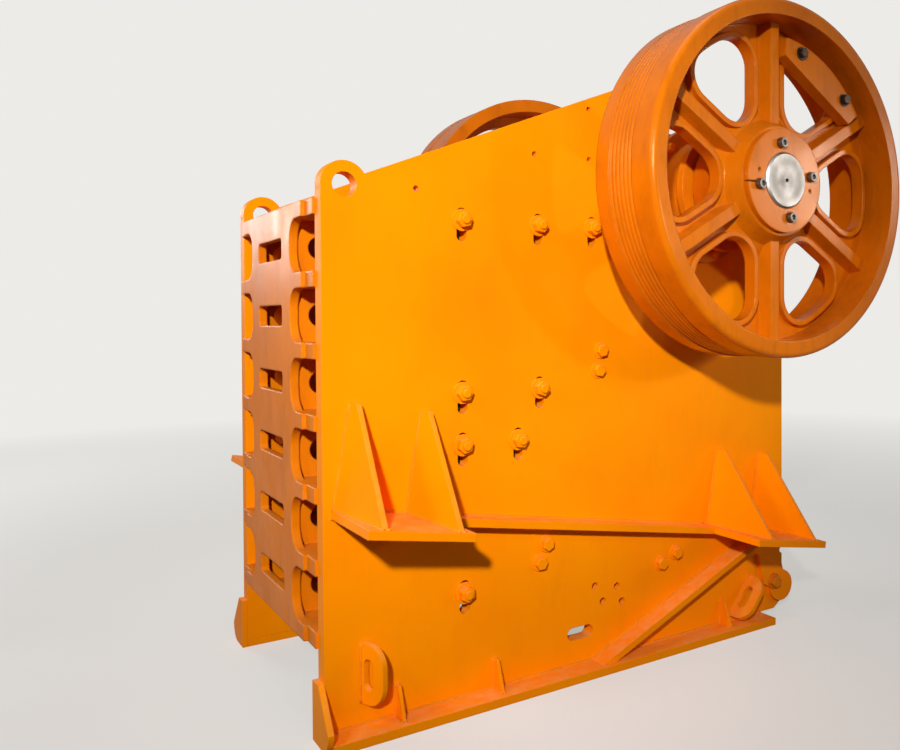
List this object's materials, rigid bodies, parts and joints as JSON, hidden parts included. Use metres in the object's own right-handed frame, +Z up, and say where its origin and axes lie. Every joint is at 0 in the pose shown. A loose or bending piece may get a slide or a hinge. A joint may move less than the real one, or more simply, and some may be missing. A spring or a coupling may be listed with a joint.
{
  "type": "jaw crusher",
  "caption": "Single-toggle jaw crusher with a plate frame, ribbed cast front, sloping foot brackets and two spoked flywheels on an eccentric shaft.",
  "frame": {"origin": "on the ground, in the middle of the machine's length and width", "axes": "+X from the cast front to the rear, +Y to the left side, +Z up"},
  "size_m": [2.704, 2.526, 3.021],
  "materials": {
    "orange_paint": "satin",
    "manganese_steel": "rough",
    "machined_steel": "machined"
  },
  "bodies": {
    "frame": {"front_frame": "orange_paint", "fixed_jaw_die": "manganese_steel", "moving_jaw_die": "manganese_steel", "pitman": "orange_paint", "toggle_plate": "machined_steel", "pitman_toggle_seat": "machined_steel", "rear_toggle_seat": "machined_steel", "front_setting_wedge": "machined_steel", "rear_setting_wedge": "machined_steel", "rear_frame": "orange_paint", "retraction_rod": "machined_steel", "retraction_spring": "machined_steel", "side_plate_right": "orange_paint", "side_plate_left": "orange_paint", "base_flange_right": "orange_paint", "base_flange_left": "orange_paint", "front_end_plate_right": "orange_paint", "front_end_plate_left": "orange_paint", "front_pull_lug_right": "orange_paint", "front_pull_lug_left": "orange_paint", "rear_pull_lug_right": "orange_paint", "rear_pull_lug_left": "orange_paint", "diagonal_rib_right": "orange_paint", "diagonal_rib_left": "orange_paint", "front_foot_bracket_right": "orange_paint", "front_foot_bracket_left": "orange_paint", "rear_foot_bracket_right": "orange_paint", "rear_foot_bracket_left": "orange_paint", "side_strip_right": "orange_paint", "side_strip_left": "orange_paint", "upper_cheek_plate_right": "manganese_steel", "upper_cheek_plate_left": "manganese_steel", "lower_cheek_plate_right": "manganese_steel", "lower_cheek_plate_left": "manganese_steel", "bearing_housing_right": "orange_paint", "bearing_housing_left": "orange_paint"},
    "rotor": {"eccentric_shaft": "machined_steel", "flywheel_right": "orange_paint", "flywheel_left": "orange_paint", "hub_lock_ring_right": "orange_paint", "hub_lock_ring_left": "orange_paint", "counterweight_right": "orange_paint", "counterweight_left": "orange_paint"}
  },
  "joints": [
    {"name": "rotor_spin", "type": "hinge", "parent": "frame", "child": "rotor", "pos_m": [0.558, 0, 2.227], "axis": [0, 1, 0], "continuous": true}
  ]
}
